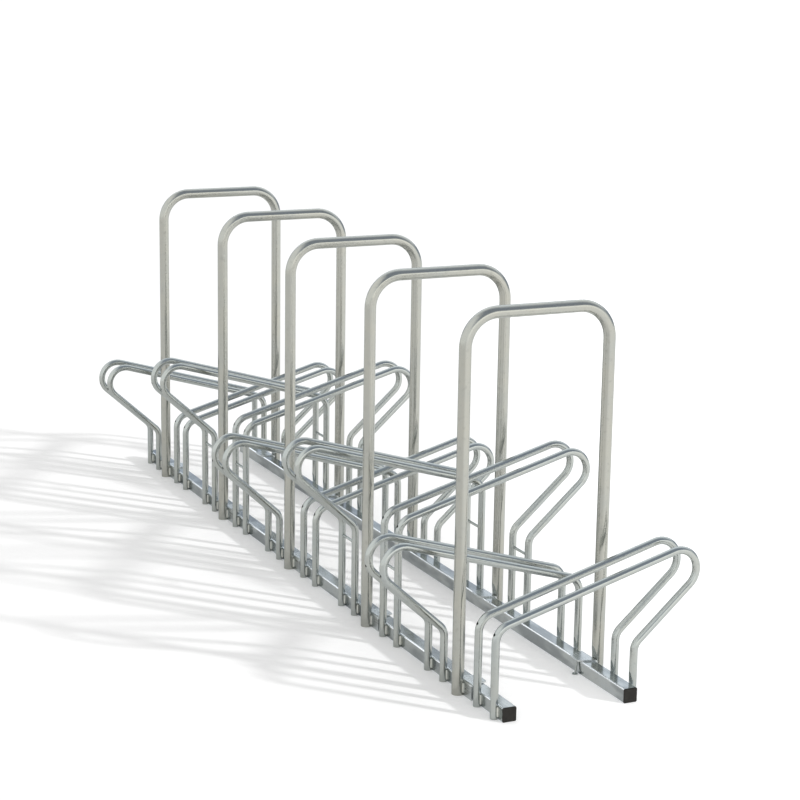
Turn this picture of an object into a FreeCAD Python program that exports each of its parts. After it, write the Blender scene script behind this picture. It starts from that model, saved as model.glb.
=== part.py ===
import FreeCAD, Part
import math
import os
from FreeCAD import Vector

# Floor bike rack: two square rails on the floor, five leaning hoops across them, and a wheel
# holder on each side of every hoop. Holders are pairs of bent round tubes, and their noses point
# in turn over the far and the near rail. Millimetres. X runs across the rack from the near rail
# to the far rail, Y along the rails, Z up. The floor is Z = 0 and the origin is the rack's middle.
# Half a turn about Z brings the rack back onto itself.

# ---- driving dimensions: layout ----
UNIT_COUNT = 5                  # a hoop and the two holders beside it
UNIT_PITCH = 450.0              # from hoop to hoop, twice the pitch of the holders

# ---- rails and their end caps ----
RAIL_SPACING = 270.0            # between the centre lines of the rails
RAIL_SIDE = 30.0                # square tube
RAIL_WALL = 2.0
RAIL_EDGE = 3.0                 # outside corner radius
RAIL_TAIL = 17.0                # rail past the last holder tube
CAP_FLANGE = 3.0                # plate over the end of the rail
CAP_ROUND = 1.5                 # rounding of the flange's outer edge
CAP_INSERT = 18.0               # depth of the plug inside the rail
CAP_WALL = 2.0                  # wall of the hollow plug
CAP_CLEARANCE = 0.2             # all round the plug

# ---- leaning hoops ----
HOOP_TUBE = 25.0
HOOP_WALL = 1.5
HOOP_HEIGHT = 784.0             # to the top of the tube
HOOP_BEND = 68.0                # bend radius on the tube's axis
HOOP_PRESS = 5.5                # how deep its feet are pressed flat
HOOP_PRESS_RUN = 30.0           # height over which the flat runs out above the rail

# ---- wheel holders ----
WHEEL_GAP = 56.5                # clear gap between the two tubes of a holder
HOLDER_TUBE = 16.0
HOLDER_WALL = 1.5
HOLDER_PRESS = 3.0
HOLDER_PRESS_RUN = 25.0
LOW_BAR = 180.0                 # corner where the long bar leaves its leg, low holders
LOW_KNEE = 110.0                # corner where the short strut leaves the other leg
HIGH_STEP = 94.0                # how much higher the high holders are
BAR_RISE = 16.0                 # slope of the long bar, degrees
BAR_BEND = 36.0                 # bend radii on the tube's axis
KNEE_BEND = 30.0
NOSE_BEND = 42.0
NOSE_REACH = 145.0              # from the leg's axis to the outermost point of the nose
VENT_HOLE = 6.5                 # zinc drain hole
BAR_VENT = 25.0                 # degrees round the upper bend, from the leg
NOSE_VENT = -15.0               # degrees round the nose, from level

# ---- spacer rods on the high holders ----
ROD = 6.0
ROD_DROP = 25.0                 # below the knee bend

# ---- hoop foot brackets ----
BRACKET_PLATE = 3.0
BRACKET_LENGTH = 60.0           # wall beside the rail
BRACKET_SHIFT = 17.0            # of its middle from the hoop, away from the rack's corner
BRACKET_BEND = 2.0              # inside bend radius
TONGUE_TIP = 36.0               # length of the tongue's edge over the inside of the rail
TONGUE_OVERHANG = 7.0           # of the tip past the rail
TONGUE_CORNER = 6.0             # rounding of the tip's corners

# ---- floor anchors ----
ANCHOR_STRUT = 4.0              # round strut that leans from the bracket's lip to the floor
ANCHOR_LEAN = 9.0               # degrees from upright
ANCHOR_SHIFT = 8.0              # from the middle of the bracket, towards the hoop
ANCHOR_CLEARANCE = 0.2          # between the head of the strut and the rail
ANCHOR_FOOT = 12.0              # round foot
ANCHOR_FOOT_PLATE = 2.0

# ---- derived places ----
OVERSHOOT = 1.0                 # cutters run this far past what they cut
HOLDER_OFFSET = UNIT_PITCH / 4.0
TUBE_OFFSET = (WHEEL_GAP + HOLDER_TUBE) / 2.0
RAIL_X = RAIL_SPACING / 2.0
RAIL_OUTER = RAIL_X + RAIL_SIDE / 2.0
RAIL_INNER = RAIL_X - RAIL_SIDE / 2.0
LAST_TUBE = (UNIT_COUNT - 1) * UNIT_PITCH / 2.0 + HOLDER_OFFSET + TUBE_OFFSET + HOLDER_TUBE / 2.0
RAIL_HALF = LAST_TUBE + RAIL_TAIL
BORE_SIDE = RAIL_SIDE - 2.0 * RAIL_WALL
BORE_EDGE = RAIL_EDGE - RAIL_WALL
HOLDER_LEG = RAIL_OUTER + HOLDER_TUBE / 2.0 - HOLDER_PRESS
HOOP_LEG = RAIL_OUTER + BRACKET_PLATE + HOOP_TUBE / 2.0 - HOOP_PRESS
NOSE_X = HOLDER_LEG + NOSE_REACH - HOLDER_TUBE / 2.0 - NOSE_BEND

Y_AXIS = Vector(0, 1, 0)
Z_AXIS = Vector(0, 0, 1)
ORIGIN = Vector(0, 0, 0)


def xz(x, z):
    return Vector(x, 0, z)


def hoop_y(unit):
    """Place of hoop 1, at the front, to hoop UNIT_COUNT, at the back."""
    return (unit - (UNIT_COUNT + 1) / 2.0) * UNIT_PITCH


def is_high(unit):
    return unit % 2 == 0


def half_turn(shape):
    """The same piece on the other side of the rack."""
    turned = shape.copy()
    turned.rotate(ORIGIN, Z_AXIS, 180)
    return turned


def moved(shape, y):
    copy = shape.copy()
    copy.translate(Vector(0, y, 0))
    return copy


# ---- bent tubes ----

def bend_points(corner, before, after, radius):
    """Start, middle and end of the arc that rounds a corner of a route, and the arc's centre."""
    back = (before - corner).normalize()
    ahead = (after - corner).normalize()
    half_angle = back.getAngle(ahead) / 2.0
    reach = radius / math.tan(half_angle)
    inward = (back + ahead).normalize()
    centre = corner + inward * (radius / math.sin(half_angle))
    return corner + back * reach, centre - inward * radius, corner + ahead * reach, centre


def route(corners, radii):
    """A wire of straight runs through the corners, each corner rounded by a tangent arc."""
    edges = []
    start = corners[0]
    for i, radius in enumerate(radii):
        first, middle, last, _ = bend_points(corners[i + 1], corners[i], corners[i + 2], radius)
        edges.append(Part.LineSegment(start, first).toShape())
        edges.append(Part.Arc(first, middle, last).toShape())
        start = last
    edges.append(Part.LineSegment(start, corners[-1]).toShape())
    return Part.Wire(edges)


def swept(corners, radii, radius):
    """A round bar along the route, which starts and ends upright."""
    section = Part.Face(Part.Wire(Part.makeCircle(radius, corners[0], Z_AXIS)))
    return route(corners, radii).makePipe(section)


def press_tool(leg_x, radius, press, run, depth):
    """What a press takes off a leg's rail side: flat up to the rail's top, then run out.

    depth is 0 for the outside of the tube and the wall thickness for its bore.
    """
    side = math.copysign(1.0, leg_x)
    flat = abs(leg_x) - radius + press + depth
    curve = (run ** 2 + press ** 2) / (2.0 * press)
    bulge = press + OVERSHOOT
    sweep = math.acos((curve - bulge) / (curve + depth))
    centre = flat - curve - depth

    def on_curve(angle):
        turned = (curve + depth) * math.cos(angle)
        return xz(side * (centre + turned), RAIL_SIDE + (curve + depth) * math.sin(angle))

    top = on_curve(sweep)
    bottom = -2.0 * OVERSHOOT
    edges = [Part.LineSegment(xz(side * flat, bottom), xz(side * flat, RAIL_SIDE)).toShape(),
             Part.Arc(on_curve(0.0), on_curve(sweep / 2.0), top).toShape(),
             Part.LineSegment(top, xz(top.x, bottom)).toShape(),
             Part.LineSegment(xz(top.x, bottom), xz(side * flat, bottom)).toShape()]
    block = Part.Face(Part.Wire(edges)).extrude(Y_AXIS * (2.0 * radius + 2.0 * OVERSHOOT))
    return moved(block, -radius - OVERSHOOT)


def bent_tube(corners, radii, diameter, wall, press, run):
    """A round tube along the route, open at the floor, its feet pressed flat on the rail side."""
    radius = diameter / 2.0
    legs = [corners[0].x, corners[-1].x]
    outside = swept(corners, radii, radius)
    outside = outside.cut([press_tool(x, radius, press, run, 0.0) for x in legs])
    lowered = [corners[0] - Z_AXIS * OVERSHOOT] + corners[1:-1] + [corners[-1] - Z_AXIS * OVERSHOOT]
    bore = swept(lowered, radii, radius - wall)
    bore = bore.cut([press_tool(x, radius, press, run, wall) for x in legs])
    return outside.cut(bore)


def vent(centre, bend, degrees, diameter):
    """A drill through the outer wall of a bend, pointing away from the bend's centre."""
    angle = math.radians(degrees)
    outward = xz(math.cos(angle), math.sin(angle))
    return Part.makeCylinder(VENT_HOLE / 2.0, diameter, centre + outward * bend, outward)


# ---- wheel holders ----

def holder_corners(lift):
    """Corners of a holder tube's route; its nose points to +X."""
    bar = xz(-HOLDER_LEG, LOW_BAR + lift)
    knee = xz(HOLDER_LEG, LOW_KNEE + lift)
    rise = math.radians(BAR_RISE)
    nose = xz(NOSE_X, bar.z + (NOSE_X - bar.x) * math.tan(rise) - NOSE_BEND / math.cos(rise))
    to_nose = nose - knee
    lean = math.atan2(to_nose.z, to_nose.x) - math.asin(NOSE_BEND / to_nose.Length)
    drop = bar.z + (knee.x - bar.x) * math.tan(rise) - knee.z
    length = drop / (math.sin(lean) - math.cos(lean) * math.tan(rise))
    tip = knee + xz(math.cos(lean), math.sin(lean)) * length
    return [xz(-HOLDER_LEG, 0), bar, tip, knee, xz(HOLDER_LEG, 0)]


def holder_tube(lift):
    corners = holder_corners(lift)
    radii = [BAR_BEND, NOSE_BEND, KNEE_BEND]
    tube = bent_tube(corners, radii, HOLDER_TUBE, HOLDER_WALL, HOLDER_PRESS, HOLDER_PRESS_RUN)
    bar_centre = bend_points(corners[1], corners[0], corners[2], BAR_BEND)[3]
    nose_centre = bend_points(corners[2], corners[1], corners[3], NOSE_BEND)[3]
    drills = [vent(bar_centre, BAR_BEND, 180.0 - BAR_VENT, HOLDER_TUBE),
              vent(nose_centre, NOSE_BEND, NOSE_VENT, HOLDER_TUBE)]
    return tube.cut(drills)


def spacer_rods(lift):
    """The two rods between the tubes of a high holder, their ends coped to the round legs."""
    corners = holder_corners(lift)
    height = bend_points(corners[3], corners[2], corners[4], KNEE_BEND)[2].z - ROD_DROP
    rods = []
    for leg_x in (-HOLDER_LEG, HOLDER_LEG):
        rod = Part.makeCylinder(ROD / 2.0, 2.0 * TUBE_OFFSET, Vector(leg_x, -TUBE_OFFSET, height), Y_AXIS)
        for side in (-1, 1):
            foot = Vector(leg_x, side * TUBE_OFFSET, height - ROD)
            rod = rod.cut(Part.makeCylinder(HOLDER_TUBE / 2.0, 2.0 * ROD, foot, Z_AXIS))
        rods.append(rod)
    return Part.makeCompound(rods)


# ---- hoops and their brackets ----

def hoop():
    top = HOOP_HEIGHT - HOOP_TUBE / 2.0
    corners = [xz(-HOOP_LEG, 0), xz(-HOOP_LEG, top), xz(HOOP_LEG, top), xz(HOOP_LEG, 0)]
    return bent_tube(corners, [HOOP_BEND, HOOP_BEND], HOOP_TUBE, HOOP_WALL, HOOP_PRESS, HOOP_PRESS_RUN)


def arc_about(centre, radius, start, end):
    """An arc in the XZ plane about a centre, from one angle to another in degrees."""
    points = []
    for degrees in (start, (start + end) / 2.0, end):
        angle = math.radians(degrees)
        points.append(centre + xz(math.cos(angle), math.sin(angle)) * radius)
    return Part.Arc(*points).toShape()


def bracket():
    """Foot bracket of the far leg: a wall beside the rail and a tapered tongue over it."""
    top = RAIL_SIDE + BRACKET_PLATE
    wall = RAIL_OUTER + BRACKET_PLATE
    tip = RAIL_INNER - TONGUE_OVERHANG
    nose = BRACKET_PLATE / 2.0
    bend = xz(RAIL_OUTER - BRACKET_BEND, RAIL_SIDE - BRACKET_BEND)
    outer_bend = BRACKET_BEND + BRACKET_PLATE
    edges = [Part.LineSegment(xz(RAIL_OUTER, 0), xz(RAIL_OUTER, bend.z)).toShape(),
             arc_about(bend, BRACKET_BEND, 0, 90),
             Part.LineSegment(xz(bend.x, RAIL_SIDE), xz(tip + nose, RAIL_SIDE)).toShape(),
             arc_about(xz(tip + nose, RAIL_SIDE + nose), nose, 270, 90),
             Part.LineSegment(xz(tip + nose, top), xz(bend.x, top)).toShape(),
             arc_about(bend, outer_bend, 90, 0),
             Part.LineSegment(xz(wall, bend.z), xz(wall, 0)).toShape(),
             Part.LineSegment(xz(wall, 0), xz(RAIL_OUTER, 0)).toShape()]
    plate = Part.Face(Part.Wire(edges)).extrude(Y_AXIS * BRACKET_LENGTH)
    half = BRACKET_LENGTH / 2.0
    outline = [Vector(wall + OVERSHOOT, -half), Vector(bend.x, -half), Vector(tip, -TONGUE_TIP / 2.0),
               Vector(tip, TONGUE_TIP / 2.0), Vector(bend.x, half), Vector(wall + OVERSHOOT, half)]
    plan = Part.Face(Part.makePolygon(outline + outline[:1])).extrude(Z_AXIS * (top + OVERSHOOT))
    corners = [edge for edge in plan.Edges
               if edge.BoundBox.ZLength > top and abs(edge.BoundBox.XMin - tip) < OVERSHOOT]
    plan = plan.makeFillet(TONGUE_CORNER, corners)
    return moved(moved(plate, -half).common(plan), BRACKET_SHIFT)


def floor_anchor():
    """Anchor of the far leg's bracket: a strut that leans from the lip to a round foot."""
    lean = math.radians(ANCHOR_LEAN)
    half_width = ANCHOR_STRUT / 2.0 / math.cos(lean)
    head = Vector(RAIL_INNER - ANCHOR_CLEARANCE - half_width, BRACKET_SHIFT - ANCHOR_SHIFT, RAIL_SIDE)
    direction = Vector(-math.sin(lean), 0, -math.cos(lean))
    reach = RAIL_SIDE / math.cos(lean)
    strut = Part.makeCylinder(ANCHOR_STRUT / 2.0, reach + 2.0 * ANCHOR_STRUT,
                              head - direction * ANCHOR_STRUT, direction)
    foot_place = Vector(head.x - RAIL_SIDE * math.tan(lean), head.y, 0)
    slab_corner = Vector(0, head.y - ANCHOR_STRUT, 0)
    slab = Part.makeBox(RAIL_SPACING, 2.0 * ANCHOR_STRUT, RAIL_SIDE, slab_corner)
    foot = Part.makeCylinder(ANCHOR_FOOT / 2.0, ANCHOR_FOOT_PLATE, foot_place, Z_AXIS)
    return strut.common(slab).fuse(foot).removeSplitter()


# ---- rails and caps ----

def square_section(side, corner, y):
    """A rounded square face across Y, standing on the floor of its own height."""
    half = side / 2.0
    block = Part.makeBox(side, OVERSHOOT, side, Vector(-half, y, -half))
    rounded = block.makeFillet(corner, [e for e in block.Edges if e.BoundBox.YLength > OVERSHOOT / 2.0])
    return [face for face in rounded.Faces if abs(face.CenterOfMass.y - y) < OVERSHOOT / 4.0][0]


def square_bar(side, corner, start, length):
    bar = square_section(side, corner, start).extrude(Y_AXIS * length)
    bar.translate(Vector(RAIL_X, 0, RAIL_SIDE / 2.0))
    return bar


def rail():
    """The far rail."""
    outside = square_bar(RAIL_SIDE, RAIL_EDGE, -RAIL_HALF, 2.0 * RAIL_HALF)
    bore_half = RAIL_HALF + OVERSHOOT
    return outside.cut(square_bar(BORE_SIDE, BORE_EDGE, -bore_half, 2.0 * bore_half))


def end_cap():
    """Cap on the back end of the far rail: a flange and a hollow plug."""
    flange = square_bar(RAIL_SIDE, RAIL_EDGE, RAIL_HALF, CAP_FLANGE)
    outer_edges = [edge for edge in flange.Edges if edge.BoundBox.YMin > RAIL_HALF + CAP_FLANGE / 2.0]
    flange = flange.makeFillet(CAP_ROUND, outer_edges)
    plug_side = BORE_SIDE - 2.0 * CAP_CLEARANCE
    plug = square_bar(plug_side, BORE_EDGE, RAIL_HALF - CAP_INSERT, CAP_INSERT)
    hollow_side = plug_side - 2.0 * CAP_WALL
    hollow = square_bar(hollow_side, BORE_EDGE, RAIL_HALF - CAP_INSERT - OVERSHOOT, CAP_INSERT + OVERSHOOT)
    return flange.fuse(plug.cut(hollow)).removeSplitter()


# ---- the rack ----

def rack():
    """Every node's shape by name."""
    nodes = {"rail_far": rail(), "rail_near": half_turn(rail())}
    back_far = end_cap()
    front_far = back_far.mirror(ORIGIN, Y_AXIS)
    nodes["end_cap_far_back"] = back_far
    nodes["end_cap_far_front"] = front_far
    nodes["end_cap_near_front"] = half_turn(back_far)
    nodes["end_cap_near_back"] = half_turn(front_far)

    low_tube = holder_tube(0.0)
    high_tube = holder_tube(HIGH_STEP)
    rods = spacer_rods(HIGH_STEP)
    bare_hoop = hoop()
    far_bracket = bracket()
    for unit in range(1, UNIT_COUNT + 1):
        y = hoop_y(unit)
        nodes["hoop_%d" % unit] = moved(bare_hoop, y)
        nodes["hoop_bracket_%d_far" % unit] = moved(far_bracket, y)
        nodes["hoop_bracket_%d_near" % unit] = moved(half_turn(far_bracket), y)
        tube = high_tube if is_high(unit) else low_tube
        holders = [("far", y - HOLDER_OFFSET, tube), ("near", y + HOLDER_OFFSET, half_turn(tube))]
        for side, place, shape in holders:
            nodes["holder_%d_%s_front" % (unit, side)] = moved(shape, place - TUBE_OFFSET)
            nodes["holder_%d_%s_back" % (unit, side)] = moved(shape, place + TUBE_OFFSET)
            if is_high(unit):
                nodes["spacer_rods_%d_%s" % (unit, side)] = moved(rods, place)

    front_anchor = moved(floor_anchor(), hoop_y(1))
    nodes["floor_anchors"] = Part.makeCompound([front_anchor, half_turn(front_anchor)])
    return nodes


os.makedirs("parts", exist_ok=True)
for name, shape in rack().items():
    shape.exportStep("parts/%s.step" % name)
    solids = len(shape.Solids)
    print("%-24s solids %d  volume %10.1f  valid %s" % (name, solids, shape.Volume, shape.isValid()))
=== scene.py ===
import math

import bmesh
import bpy
from mathutils import Matrix, Vector


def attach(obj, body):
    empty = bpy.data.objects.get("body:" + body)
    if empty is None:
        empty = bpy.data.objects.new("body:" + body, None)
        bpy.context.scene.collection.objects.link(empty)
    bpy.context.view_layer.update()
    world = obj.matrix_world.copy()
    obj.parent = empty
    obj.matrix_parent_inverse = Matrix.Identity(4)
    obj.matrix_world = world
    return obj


# Looks of the floor bike rack: bright zinc on the tubes, rails and brackets, black end caps,
# weld beads, floor, light and camera. Metres, in the model's own frame.
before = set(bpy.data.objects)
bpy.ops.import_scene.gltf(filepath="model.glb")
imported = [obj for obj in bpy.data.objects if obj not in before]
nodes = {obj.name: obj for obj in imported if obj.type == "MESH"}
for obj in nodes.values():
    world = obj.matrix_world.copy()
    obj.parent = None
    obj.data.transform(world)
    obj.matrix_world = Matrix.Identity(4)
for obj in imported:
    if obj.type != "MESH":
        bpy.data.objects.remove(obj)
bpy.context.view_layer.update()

MM = 0.001

# ---- the rack's own sizes, which place the weld beads ----

UNIT_COUNT = 5                      # a hoop and the two holders beside it
UNIT_PITCH = 450.0 * MM             # from hoop to hoop
HOLDER_OFFSET = UNIT_PITCH / 4.0    # of a holder's middle from its hoop
RAIL_X = 135.0 * MM                 # a rail's centre line
RAIL_SIDE = 30.0 * MM
RAIL_OUTER = RAIL_X + RAIL_SIDE / 2.0
WHEEL_GAP = 56.5 * MM
HOLDER_TUBE = 16.0 * MM
HOLDER_PRESS = 3.0 * MM             # how deep a holder's feet are pressed flat
TUBE_OFFSET = (WHEEL_GAP + HOLDER_TUBE) / 2.0
HOOP_TUBE = 25.0 * MM
HOOP_PRESS = 5.5 * MM
BRACKET_PLATE = 3.0 * MM

WELD_RADIUS = 2.6 * MM
WELD_LOW = 5.0 * MM                 # heights where a bead starts and ends
WELD_HIGH = 26.0 * MM
WELD_STEPS = 43                     # cross sections along a bead
WELD_SIDES = 10                     # corners of a cross section
WELD_PUDDLES = 8
PUDDLE_SWELL = 0.13
WELD_TIP = 0.12                     # radius at a bead's ends, as a part of WELD_RADIUS
WELD_BLUNTNESS = 6                  # the higher, the later the ends narrow
WELD_FROM_WALL = 0.3                # place of a bead's axis, as a part of WELD_RADIUS
WELD_FROM_FOOT = 0.6

# ---- finishes ----

# Noises: scale, detail and roughness.
CLOUDS = (14.0, 5.0, 0.62)
SPOTS = (90.0, 2.0, 0.5)
CRYSTALS = (900.0, 2.0, 0.6)
TUBE_STREAKS = (2.2, 4.0, 0.6)
RAIL_LINES = (420.0, 3.0, 0.6)
RAIL_PATCHES = (17.0, 2.0, 0.5)
PLASTIC_GRAIN = (1900.0, 2.0, 0.6)
PLASTIC_DUST = (160.0, 4.0, 0.65)

# How object coordinates are stretched under a noise.
EVEN = (1.0, 1.0, 1.0)
ALONG_TUBE = (0.7, 0.7, 0.7)
ALONG_RAIL = (1.0, 0.012, 1.0)
PATCH_STRETCH = (1.0, 0.45, 1.6)
STREAKS_ROUND_TUBE = 5.0            # how fast the streaks change round a tube

# Spans: where a pattern starts to show, and where it shows in full.
MIDDLE_SPAN = (0.3, 0.7)
SPOT_SPAN = (0.58, 0.74)
PATCH_SPAN = (0.44, 0.58)
EDGE_SPAN = (0.12, 0.36)
DUST_SPAN = (0.45, 0.75)

CLOUD_SHARE = 0.6                   # of the change from warm to cool zinc
LINE_SHARE = 0.4
SPOT_SHADE = 0.78                   # of the mean zinc colour
SPOT_SHARE = 0.55
PAINTED_REFLECTION_SHADE = 0.55                  # of the cool zinc colour, in the rails' painted reflections of dark things
PAINTED_REFLECTION_SHARE = 0.75
# Paler zinc on a rail's rounded edges: a painted highlight.
PAINTED_EDGE_HIGHLIGHT = (0.86, 0.88, 0.90)
GRAZING_TINT = (0.78, 0.81, 0.83, 1.0)

# The least and most that each pattern adds to the roughness: shares of the finish's own for
# clouds and lines, and the amount itself for crystals.
CLOUD_ROUGHNESS = (0.75, 1.15)
LINE_ROUGHNESS = (-0.12, 0.28)
CRYSTAL_ROUGHNESS = (-0.03, 0.03)

LINE_HEIGHT = 0.6
CRYSTAL_HEIGHT = 0.5
ZINC_RELIEF = 0.3 * MM

PLASTIC_BLACK = (0.011, 0.010, 0.008)
PLASTIC_DUSTY = (0.026, 0.024, 0.021)
PLASTIC_ROUGHNESS = (0.42, 0.6)
PLASTIC_SPECULAR = 0.25
PLASTIC_BUMP = 0.35
PLASTIC_RELIEF = 0.12 * MM

# ---- floor, light and camera ----

FLOOR_HALF = 60.0
FLOOR_PAINT = 0.95
FLOOR_GLOW_AND_PAINTED_POOL = (0.07, 0.42)           # glow of the floor: low on the shadow's side of the rack, and high on the other, where it is a painted pool of light
# The floor's glow rises towards this direction: a painted pool of light, which metal mirrors as a
# highlight.
PAINTED_POOL_TOWARDS = Vector((0.9, -0.43, 0.0))
PAINTED_POOL_SPAN = (0.15, 1.1)             # metres from the middle of the rack, over which the painted pool of light rises

WHITE = (1.0, 1.0, 1.0)
SKY = (0.79, 0.79, 0.79)            # soft light on everything

# The room that metal mirrors: pale towards a direction and slate away from it, low and high.
LOW_SLATE = (0.42, 0.48, 0.58)
LOW_PALE = (1.9, 1.9, 1.86)
LOW_PALE_TOWARDS = Vector((0.20, -0.98, 0.0))
LOW_PALE_SPAN = (0.3, 0.95)
HIGH_SLATE = (0.40, 0.45, 0.54)
HIGH_PALE = (1.6, 1.66, 1.74)
HIGH_PALE_TOWARDS = Vector((0.422, 0.907, 0.0))
HIGH_PALE_SPAN = (-0.1, 0.8)
LOW_TO_HIGH = (0.25, 0.38)          # sine of the elevation
SIDE_PALE = (1.35, 1.37, 1.38)
SIDE_PALE_TOWARDS = Vector((-1.0, 0.0, 0.0))
SIDE_PALE_SPAN = (0.1, 0.5)
UP = Vector((0.0, 0.0, 1.0))

SUN_STRENGTH = 2.4
SUN_TRAVEL = Vector((-0.629, 0.698, -0.342))
SUN_ANGLE = 3.0                     # degrees across

CAMERA_PLACE = Vector((-1.997, -4.554, 1.544))
CAMERA_AZIMUTH = 24.95              # degrees, from +Y towards +X
CAMERA_PITCH = 13.0                 # degrees below level
CAMERA_ROLL = 0.91
CAMERA_LENS = 97.515                # millimetres, as the sensor
CAMERA_SENSOR = 36.0
CAMERA_RANGE = (0.1, 200.0)


# ---- node trees ----

COLOUR_A, COLOUR_B, COLOUR_RESULT = 6, 7, 2    # a mix node's sockets for colours


class Shader:
    """The node tree of a material or a world, with short ways to add and join its nodes."""

    def __init__(self, owner):
        owner.use_nodes = True
        self.tree = owner.node_tree

    def named(self, name):
        return self.tree.nodes[name]

    def node(self, kind, **settings):
        made = self.tree.nodes.new(kind)
        for key, value in settings.items():
            setattr(made, key, value)
        return made

    def join(self, source, target):
        self.tree.links.new(source, target)

    def give(self, value, socket):
        """A number or another node's output to a socket."""
        if isinstance(value, float):
            socket.default_value = value
        else:
            self.join(value, socket)

    def place(self, stretch):
        """Object coordinates in metres, stretched."""
        coordinates = self.node("ShaderNodeTexCoord")
        mapping = self.node("ShaderNodeMapping")
        mapping.inputs["Scale"].default_value = stretch
        self.join(coordinates.outputs["Object"], mapping.inputs["Vector"])
        return mapping.outputs["Vector"]

    def normal(self):
        return self.node("ShaderNodeNewGeometry").outputs["Normal"]

    def noise(self, vector, scale, detail, roughness):
        made = self.node("ShaderNodeTexNoise")
        made.inputs["Scale"].default_value = scale
        made.inputs["Detail"].default_value = detail
        made.inputs["Roughness"].default_value = roughness
        self.join(vector, made.inputs["Vector"])
        return made.outputs["Fac"]

    def span(self, source, low, high, span=MIDDLE_SPAN):
        """A number that runs from low to high while the source runs through the span."""
        made = self.node("ShaderNodeMapRange")
        made.inputs["From Min"].default_value = span[0]
        made.inputs["From Max"].default_value = span[1]
        made.inputs["To Min"].default_value = low
        made.inputs["To Max"].default_value = high
        self.join(source, made.inputs["Value"])
        return made.outputs["Result"]

    def towards(self, vector, direction, low, high, span):
        """A number that runs from low to high as the vector reaches in a direction."""
        made = self.node("ShaderNodeVectorMath", operation="DOT_PRODUCT")
        self.join(vector, made.inputs[0])
        made.inputs[1].default_value = direction
        return self.span(made.outputs["Value"], low, high, span)

    def mix(self, factor, first, second):
        """A colour between two, each a colour or a socket."""
        made = self.node("ShaderNodeMix", data_type="RGBA")
        self.join(factor, made.inputs["Factor"])
        for value, socket in ((first, made.inputs[COLOUR_A]), (second, made.inputs[COLOUR_B])):
            if isinstance(value, tuple):
                socket.default_value = value + (1.0,)
            else:
                self.join(value, socket)
        return made.outputs[COLOUR_RESULT]

    def maths(self, operation, first, second=0.0):
        made = self.node("ShaderNodeMath", operation=operation)
        self.give(first, made.inputs[0])
        self.give(second, made.inputs[1])
        return made.outputs["Value"]

    def bump(self, height, strength, distance, surface):
        made = self.node("ShaderNodeBump")
        made.inputs["Strength"].default_value = strength
        made.inputs["Distance"].default_value = distance
        self.join(height, made.inputs["Height"])
        self.join(made.outputs["Normal"], surface.inputs["Normal"])

    def rays(self, *kinds):
        """1 for light path rays of any of the kinds."""
        light_path = self.node("ShaderNodeLightPath")
        total = light_path.outputs[kinds[0]]
        for kind in kinds[1:]:
            total = self.maths("MAXIMUM", total, light_path.outputs[kind])
        return total


# ---- materials ----

def along_tube(shader):
    """Streaks that follow any straight run of tube: they depend on the way the surface faces."""
    turned = shader.node("ShaderNodeVectorMath", operation="SCALE")
    turned.inputs["Scale"].default_value = STREAKS_ROUND_TUBE
    shader.join(shader.normal(), turned.inputs[0])
    together = shader.node("ShaderNodeVectorMath", operation="ADD")
    shader.join(turned.outputs["Vector"], together.inputs[0])
    shader.join(shader.place(ALONG_TUBE), together.inputs[1])
    return shader.noise(together.outputs["Vector"], *TUBE_STREAKS)


def along_rail(shader):
    """Fine drawing lines along Y."""
    return shader.noise(shader.place(ALONG_RAIL), *RAIL_LINES)


def painted_reflection_patches(shader):
    """Long soft patches along a rail: 0 bright, 1 dull. The dull patches are a painted reflection
    of dark things near the rail.
    """
    clouds = shader.noise(shader.place(PATCH_STRETCH), *RAIL_PATCHES)
    return shader.span(clouds, 0.0, 1.0, PATCH_SPAN)


def painted_highlight_edges(shader):
    """1 on the rounded edges of a square tube, where a highlight is painted."""
    faces = shader.node("ShaderNodeSeparateXYZ")
    shader.join(shader.normal(), faces.inputs[0])
    both = shader.maths("MULTIPLY", faces.outputs["X"], faces.outputs["Z"])
    return shader.span(shader.maths("ABSOLUTE", both), 0.0, 1.0, EDGE_SPAN)


def scaled(values, factor):
    return tuple(factor * value for value in values)


def zinc(name, warm, cool, rough, streaks, grain, on_rail=False, metal=1.0):
    """Bright zinc plate: clouds of warm and cool grey, streaks and a fine crystal grain."""
    material = bpy.data.materials.new(name)
    shader = Shader(material)
    surface = shader.named("Principled BSDF")
    even = shader.place(EVEN)
    cloud = shader.noise(even, *CLOUDS)
    spots = shader.noise(even, *SPOTS)
    crystals = shader.noise(even, *CRYSTALS)
    lines = streaks(shader)

    patina = shader.maths("ADD", shader.span(cloud, 0.0, CLOUD_SHARE),
                          shader.span(lines, 0.0, LINE_SHARE))
    mean = tuple((w + c) / 2.0 for w, c in zip(warm, cool))
    colour = shader.mix(shader.span(spots, 0.0, SPOT_SHARE, SPOT_SPAN),
                        shader.mix(patina, warm, cool), scaled(mean, SPOT_SHADE))
    if on_rail:
        # painted reflection: dull patches darken a rail's zinc in place of dark things mirrored
        # in it
        colour = shader.mix(shader.maths("MULTIPLY", painted_reflection_patches(shader), PAINTED_REFLECTION_SHARE), colour,
                            scaled(cool, PAINTED_REFLECTION_SHADE))
        # painted highlight: paler zinc on the rail's rounded edges
        colour = shader.mix(painted_highlight_edges(shader), colour, PAINTED_EDGE_HIGHLIGHT)
    shader.join(colour, surface.inputs["Base Color"])

    varied = shader.maths("ADD", shader.span(cloud, *scaled(CLOUD_ROUGHNESS, rough)),
                          shader.span(lines, *scaled(LINE_ROUGHNESS, rough)))
    shader.join(shader.maths("ADD", varied, shader.span(crystals, *CRYSTAL_ROUGHNESS)),
                surface.inputs["Roughness"])
    surface.inputs["Metallic"].default_value = metal
    surface.inputs["Specular Tint"].default_value = GRAZING_TINT
    height = shader.maths("ADD", shader.span(lines, 0.0, LINE_HEIGHT),
                          shader.span(crystals, 0.0, CRYSTAL_HEIGHT))
    shader.bump(height, grain, ZINC_RELIEF, surface)
    return material


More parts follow.
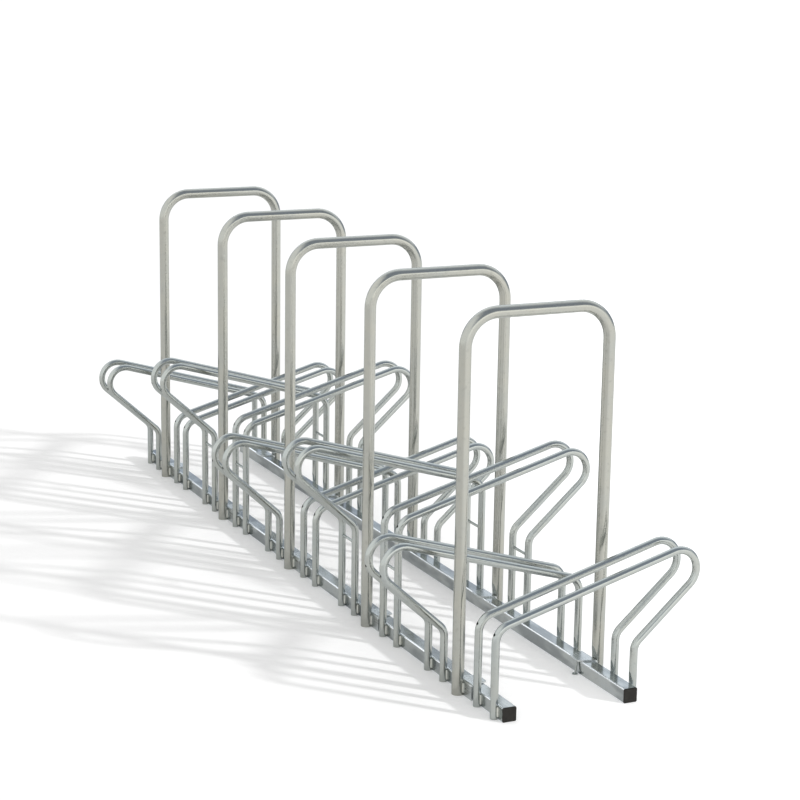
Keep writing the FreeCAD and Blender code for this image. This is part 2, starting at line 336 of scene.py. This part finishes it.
def black_plastic():
    """Moulded black plastic with a fine spark-eroded grain and a little dust."""
    material = bpy.data.materials.new("cap_plastic")
    shader = Shader(material)
    surface = shader.named("Principled BSDF")
    even = shader.place(EVEN)
    grain = shader.noise(even, *PLASTIC_GRAIN)
    dust = shader.noise(even, *PLASTIC_DUST)
    shader.join(shader.mix(shader.span(dust, 0.0, 1.0, DUST_SPAN), PLASTIC_BLACK, PLASTIC_DUSTY),
                surface.inputs["Base Color"])
    shader.join(shader.span(dust, *PLASTIC_ROUGHNESS), surface.inputs["Roughness"])
    surface.inputs["Specular IOR Level"].default_value = PLASTIC_SPECULAR
    shader.bump(grain, PLASTIC_BUMP, PLASTIC_RELIEF, surface)
    return material


TUBE_ZINC = zinc("zinc_tube", warm=(0.425, 0.433, 0.395), cool=(0.378, 0.410, 0.408),
                 rough=0.19, streaks=along_tube, grain=0.15)
HOOP_ZINC = zinc("zinc_hoop", warm=(0.415, 0.408, 0.357), cool=(0.368, 0.380, 0.358),
                 rough=0.19, streaks=along_tube, grain=0.15)
RAIL_ZINC = zinc("zinc_rail", warm=(0.50, 0.51, 0.48), cool=(0.45, 0.48, 0.49),
                 rough=0.16, streaks=along_rail, grain=0.02, on_rail=True)
PLATE_ZINC = zinc("zinc_plate", warm=(0.56, 0.57, 0.55), cool=(0.52, 0.55, 0.56),
                  rough=0.26, streaks=along_rail, grain=0.06)
WELD_ZINC = zinc("zinc_weld", warm=(0.74, 0.73, 0.66), cool=(0.62, 0.63, 0.59),
                 rough=0.42, streaks=along_tube, grain=0.4, metal=0.35)
CAP_PLASTIC = black_plastic()

# The first start of a name that fits gives its finish.
FINISHES = (("end_cap", CAP_PLASTIC), ("rail", RAIL_ZINC), ("hoop_bracket", PLATE_ZINC),
            ("hoop", HOOP_ZINC), ("", TUBE_ZINC))

for name, piece in nodes.items():
    finish = next(material for start, material in FINISHES if name.startswith(start))
    for slot in piece.material_slots:
        slot.material = finish


# ---- weld beads ----

def show(piece):
    bpy.context.scene.collection.objects.link(piece)


def bead_radius(t):
    """Radius at t, from 0 to 1 along a bead: overlapping puddles and narrow ends."""
    taper = math.sqrt(max(0.0, 1.0 - abs(2.0 * t - 1.0) ** WELD_BLUNTNESS))
    puddle = 1.0 + PUDDLE_SWELL * math.sin(t * WELD_PUDDLES * 2.0 * math.pi)
    return WELD_RADIUS * max(WELD_TIP, taper * puddle)


def bead(name, x, y, outward):
    """An upright weld bead at x and y."""
    mesh = bmesh.new()
    across = UP.cross(outward).normalized()
    rings = []
    for i in range(WELD_STEPS):
        t = i / (WELD_STEPS - 1.0)
        point = Vector((x, y, WELD_LOW + (WELD_HIGH - WELD_LOW) * t))
        size = bead_radius(t)
        ring = []
        for k in range(WELD_SIDES):
            angle = 2.0 * math.pi * k / WELD_SIDES
            away = outward * math.cos(angle) + across * math.sin(angle)
            ring.append(mesh.verts.new(point + away * size))
        rings.append(ring)
    for low, high in zip(rings, rings[1:]):
        for k in range(WELD_SIDES):
            after = (k + 1) % WELD_SIDES
            mesh.faces.new((low[k], low[after], high[after], high[k]))
    mesh.faces.new(list(reversed(rings[0])))
    mesh.faces.new(rings[-1])
    bmesh.ops.recalc_face_normals(mesh, faces=mesh.faces)
    data = bpy.data.meshes.new(name)
    mesh.to_mesh(data)
    mesh.free()
    for polygon in data.polygons:
        polygon.use_smooth = True
    data.materials.append(WELD_ZINC)
    piece = bpy.data.objects.new(name, data)
    show(piece)
    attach(piece, "root")


def foot_welds(name, leg_y, side, radius, press, wall_x):
    """A bead up each side of a pressed foot, where its flat meets what it stands against."""
    half = math.sqrt(radius ** 2 - (radius - press) ** 2)
    for end, along in (("front", -1.0), ("back", 1.0)):
        bead("%s_%s" % (name, end), side * (wall_x + WELD_FROM_WALL * WELD_RADIUS),
             leg_y + along * (half + WELD_FROM_FOOT * WELD_RADIUS),
             Vector((side, along, 0.0)).normalized())


RAILS = (("near", -1.0), ("far", 1.0))

for unit in range(1, UNIT_COUNT + 1):
    y = (unit - (UNIT_COUNT + 1) / 2.0) * UNIT_PITCH
    for reach, holder_y in (("far", y - HOLDER_OFFSET), ("near", y + HOLDER_OFFSET)):
        for tube, tube_y in (("front", holder_y - TUBE_OFFSET), ("back", holder_y + TUBE_OFFSET)):
            for rail, side in RAILS:
                foot_welds("weld_%d_%s_%s_%s" % (unit, reach, tube, rail), tube_y, side,
                           HOLDER_TUBE / 2.0, HOLDER_PRESS, RAIL_OUTER)
    for rail, side in RAILS:
        foot_welds("weld_hoop_%d_%s" % (unit, rail), y, side, HOOP_TUBE / 2.0, HOOP_PRESS,
                   RAIL_OUTER + BRACKET_PLATE)


# ---- floor, light and camera ----

def camera():
    azimuth = math.radians(CAMERA_AZIMUTH)
    pitch = math.radians(CAMERA_PITCH)
    roll = math.radians(CAMERA_ROLL)
    ahead = Vector((math.sin(azimuth) * math.cos(pitch), math.cos(azimuth) * math.cos(pitch),
                    -math.sin(pitch)))
    level = Vector((math.cos(azimuth), -math.sin(azimuth), 0.0))
    above = level.cross(ahead)
    right = level * math.cos(roll) + above * math.sin(roll)
    up = above * math.cos(roll) - level * math.sin(roll)
    data = bpy.data.cameras.new("camera")
    data.sensor_width = CAMERA_SENSOR
    data.lens = CAMERA_LENS
    data.clip_start, data.clip_end = CAMERA_RANGE
    holder = bpy.data.objects.new("camera", data)
    turned = Matrix((right, up, -ahead)).transposed().to_4x4()
    holder.matrix_world = Matrix.Translation(CAMERA_PLACE) @ turned
    show(holder)
    bpy.context.scene.camera = holder


def floor():
    """A pale floor that shows white where the sun reaches it and keeps the rack's shadow. Its
    glow grows towards +X and -Y, a painted pool of light that metal mirrors.
    """
    mesh = bpy.data.meshes.new("floor")
    corners = ((-1, -1), (1, -1), (1, 1), (-1, 1))
    mesh.from_pydata([(FLOOR_HALF * x, FLOOR_HALF * y, 0.0) for x, y in corners], [],
                     [(0, 1, 2, 3)])
    plane = bpy.data.objects.new("floor", mesh)
    show(plane)
    material = bpy.data.materials.new("floor")
    shader = Shader(material)
    shader.tree.nodes.remove(shader.named("Principled BSDF"))
    paint = shader.node("ShaderNodeBsdfDiffuse")
    paint.inputs["Color"].default_value = (FLOOR_PAINT, FLOOR_PAINT, FLOOR_PAINT, 1.0)
    # painted pool of light: the floor glows more towards +X and -Y, where there is no lamp
    glow_and_painted_pool = shader.node("ShaderNodeEmission")
    shader.join(shader.towards(shader.place(EVEN), PAINTED_POOL_TOWARDS, *FLOOR_GLOW_AND_PAINTED_POOL, PAINTED_POOL_SPAN),
                glow_and_painted_pool.inputs["Strength"])
    lit = shader.node("ShaderNodeAddShader")
    shader.join(paint.outputs[0], lit.inputs[0])
    shader.join(glow_and_painted_pool.outputs[0], lit.inputs[1])
    choice = shader.node("ShaderNodeMixShader")
    shader.join(shader.rays("Is Camera Ray", "Is Glossy Ray", "Is Transmission Ray"),
                choice.inputs["Fac"])
    shader.join(paint.outputs[0], choice.inputs[1])
    shader.join(lit.outputs[0], choice.inputs[2])
    shader.join(choice.outputs[0], shader.named("Material Output").inputs["Surface"])
    mesh.materials.append(material)


def sky():
    """White to the camera, an even soft light for all else, and a room for metal to mirror.

    High up, the room is pale beyond the rack and slate on the camera's side. Near the horizon it
    is pale on the camera's side and slate beyond. Towards -X it is pale at every height.
    """
    world = bpy.data.worlds.new("studio")
    shader = Shader(world)
    direction = shader.node("ShaderNodeTexCoord").outputs["Generated"]

    def share(towards, span):
        return shader.towards(direction, towards, 0.0, 1.0, span)

    low = shader.mix(share(LOW_PALE_TOWARDS, LOW_PALE_SPAN), LOW_SLATE, LOW_PALE)
    high = shader.mix(share(HIGH_PALE_TOWARDS, HIGH_PALE_SPAN), HIGH_SLATE, HIGH_PALE)
    room = shader.mix(share(UP, LOW_TO_HIGH), low, high)
    room = shader.mix(share(SIDE_PALE_TOWARDS, SIDE_PALE_SPAN), room, SIDE_PALE)
    lit = shader.mix(shader.rays("Is Glossy Ray"), SKY, room)
    shown = shader.mix(shader.rays("Is Camera Ray", "Is Transmission Ray"), lit, WHITE)
    shader.join(shown, shader.named("Background").inputs["Color"])
    bpy.context.scene.world = world


def sun():
    """The one lamp: it makes the shadow, and metal doesn't mirror it."""
    data = bpy.data.lights.new("sun", "SUN")
    data.energy = SUN_STRENGTH
    data.angle = math.radians(SUN_ANGLE)
    holder = bpy.data.objects.new("sun", data)
    holder.rotation_mode = "QUATERNION"
    holder.rotation_quaternion = SUN_TRAVEL.to_track_quat("-Z", "Y")
    holder.visible_glossy = False
    show(holder)


camera()
floor()
sky()
sun()
bpy.context.scene.view_settings.view_transform = "Standard"
